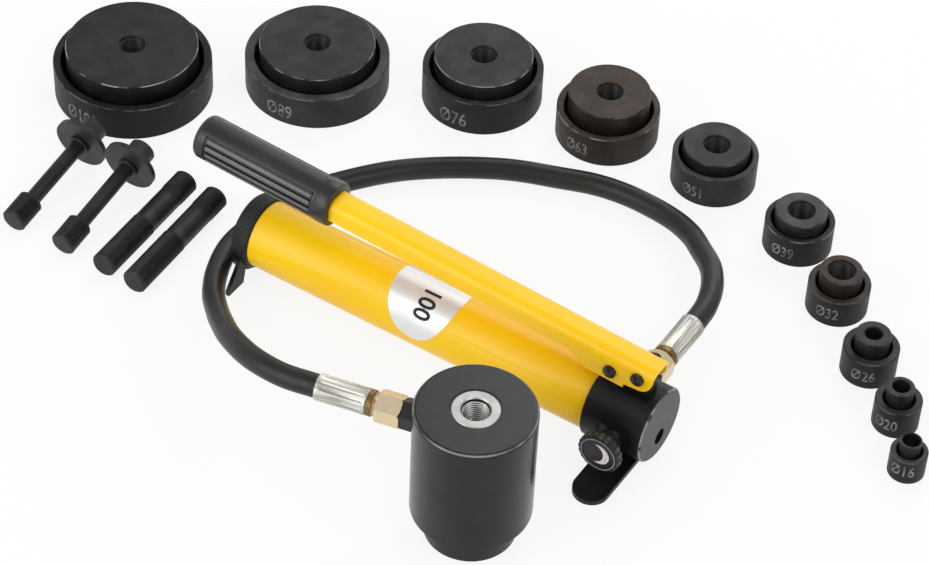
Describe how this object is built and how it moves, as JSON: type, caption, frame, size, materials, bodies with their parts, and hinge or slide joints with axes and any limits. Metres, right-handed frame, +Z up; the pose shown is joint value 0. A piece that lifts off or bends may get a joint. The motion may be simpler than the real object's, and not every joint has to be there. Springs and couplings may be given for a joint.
{
  "type": "hydraulic hole punch",
  "caption": "Hydraulic knockout punch set: lever hand pump joined by a hose to a pull ram, with cup dies, round punches and threaded draw studs laid out around it.",
  "frame": {"origin": "centre of the ram's round foot, on the floor", "axes": "+Z up along the ram's axis; +X along the pump from its rear cap to its head; +Y from the ram towards the pump and the dies"},
  "size_m": [0.74, 0.468, 0.115],
  "materials": {
    "yellow_paint": "glossy yellow paint",
    "black_steel": "black oxide, oiled",
    "bright_steel": "bright zinc or ground",
    "zinc_yellow": "yellow passivated",
    "grey_grip": "moulded, satin",
    "black_plastic": "satin",
    "black_rubber": "matt",
    "green_seal": "matt"
  },
  "bodies": {
    "set": {"reservoir_tube": "yellow_paint", "rear_cap": "black_steel", "cap_seal": "black_rubber", "rear_foot": "black_steel", "pump_head": "black_steel", "head_seal": "black_rubber", "front_foot": "black_steel", "relief_plug": "black_steel", "suction_strainer": "bright_steel", "check_balls": "bright_steel", "check_spring": "bright_steel", "gland_nut": "bright_steel", "plunger_seal": "green_seal", "fulcrum_post": "bright_steel", "outlet_adaptor": "black_steel", "swivel_nuts": "zinc_yellow", "hose_nipples": "bright_steel", "hose_ferrules": "bright_steel", "hose": "black_rubber", "ram_adaptor": "black_steel", "ram_body": "black_steel", "ram_base": "black_steel", "rod_seal": "green_seal", "rod_wiper": "black_rubber", "return_spring": "bright_steel", "large_studs": "black_steel", "small_studs": "black_steel", "stud_collars": "black_steel", "die_101": "black_steel", "die_89": "black_steel", "die_76": "black_steel", "die_63": "black_steel", "die_51": "black_steel", "die_39": "black_steel", "die_32": "black_steel", "die_26": "black_steel", "die_20": "black_steel", "die_16": "black_steel"},
    "lever_arm": {"lever": "yellow_paint", "grip": "grey_grip", "fulcrum_pin": "black_steel", "plunger_pin": "black_steel", "pin_clips": "black_steel"},
    "plunger_rod": {"plunger": "bright_steel"},
    "release": {"release_knob": "black_plastic", "release_screw": "bright_steel"},
    "piston": {"ram_piston": "bright_steel", "piston_seal": "green_seal"},
    "loose_punch_101": {"punch_101": "black_steel"},
    "loose_punch_89": {"punch_89": "black_steel"},
    "loose_punch_76": {"punch_76": "black_steel"},
    "loose_punch_63": {"punch_63": "black_steel"},
    "loose_punch_51": {"punch_51": "black_steel"},
    "loose_punch_39": {"punch_39": "black_steel"},
    "loose_punch_32": {"punch_32": "black_steel"},
    "loose_punch_26": {"punch_26": "black_steel"},
    "loose_punch_20": {"punch_20": "black_steel"},
    "loose_punch_16": {"punch_16": "black_steel"}
  },
  "joints": [
    {"name": "lever_hinge", "type": "hinge", "parent": "set", "child": "lever_arm", "pos_m": [0.0557, 0.125, 0.0774], "axis": [0, 1, 0], "range_deg": [0, 40]},
    {"name": "plunger_slide", "type": "slide", "parent": "set", "child": "plunger_rod", "axis": [0, 0, 1], "range_m": [0, 0.0148]},
    {"name": "release_turn", "type": "hinge", "parent": "set", "child": "release", "pos_m": [0.0495, 0.088, 0.031], "axis": [0, 1, 0], "range_deg": [0, 270]},
    {"name": "ram_stroke", "type": "slide", "parent": "set", "child": "piston", "axis": [0, 0, -1], "range_m": [0, 0.022], "stiffness_N_per_m": 6000, "springref_m": -0.02, "deforming": ["return_spring"]},
    {"name": "punch_101_lift", "type": "slide", "parent": "set", "child": "loose_punch_101", "axis": [0, 0, 1], "range_m": [0, 0.03]},
    {"name": "punch_89_lift", "type": "slide", "parent": "set", "child": "loose_punch_89", "axis": [0, 0, 1], "range_m": [0, 0.03]},
    {"name": "punch_76_lift", "type": "slide", "parent": "set", "child": "loose_punch_76", "axis": [0, 0, 1], "range_m": [0, 0.03]},
    {"name": "punch_63_lift", "type": "slide", "parent": "set", "child": "loose_punch_63", "axis": [0, 0, 1], "range_m": [0, 0.03]},
    {"name": "punch_51_lift", "type": "slide", "parent": "set", "child": "loose_punch_51", "axis": [0, 0, 1], "range_m": [0, 0.03]},
    {"name": "punch_39_lift", "type": "slide", "parent": "set", "child": "loose_punch_39", "axis": [0, 0, 1], "range_m": [0, 0.03]},
    {"name": "punch_32_lift", "type": "slide", "parent": "set", "child": "loose_punch_32", "axis": [0, 0, 1], "range_m": [0, 0.03]},
    {"name": "punch_26_lift", "type": "slide", "parent": "set", "child": "loose_punch_26", "axis": [0, 0, 1], "range_m": [0, 0.03]},
    {"name": "punch_20_lift", "type": "slide", "parent": "set", "child": "loose_punch_20", "axis": [0, 0, 1], "range_m": [0, 0.03]},
    {"name": "punch_16_lift", "type": "slide", "parent": "set", "child": "loose_punch_16", "axis": [0, 0, 1], "range_m": [0, 0.03]}
  ],
  "couplings": [
    {"joint": "plunger_slide", "follows": "lever_hinge", "m_per_rad": 0.02091}
  ]
}
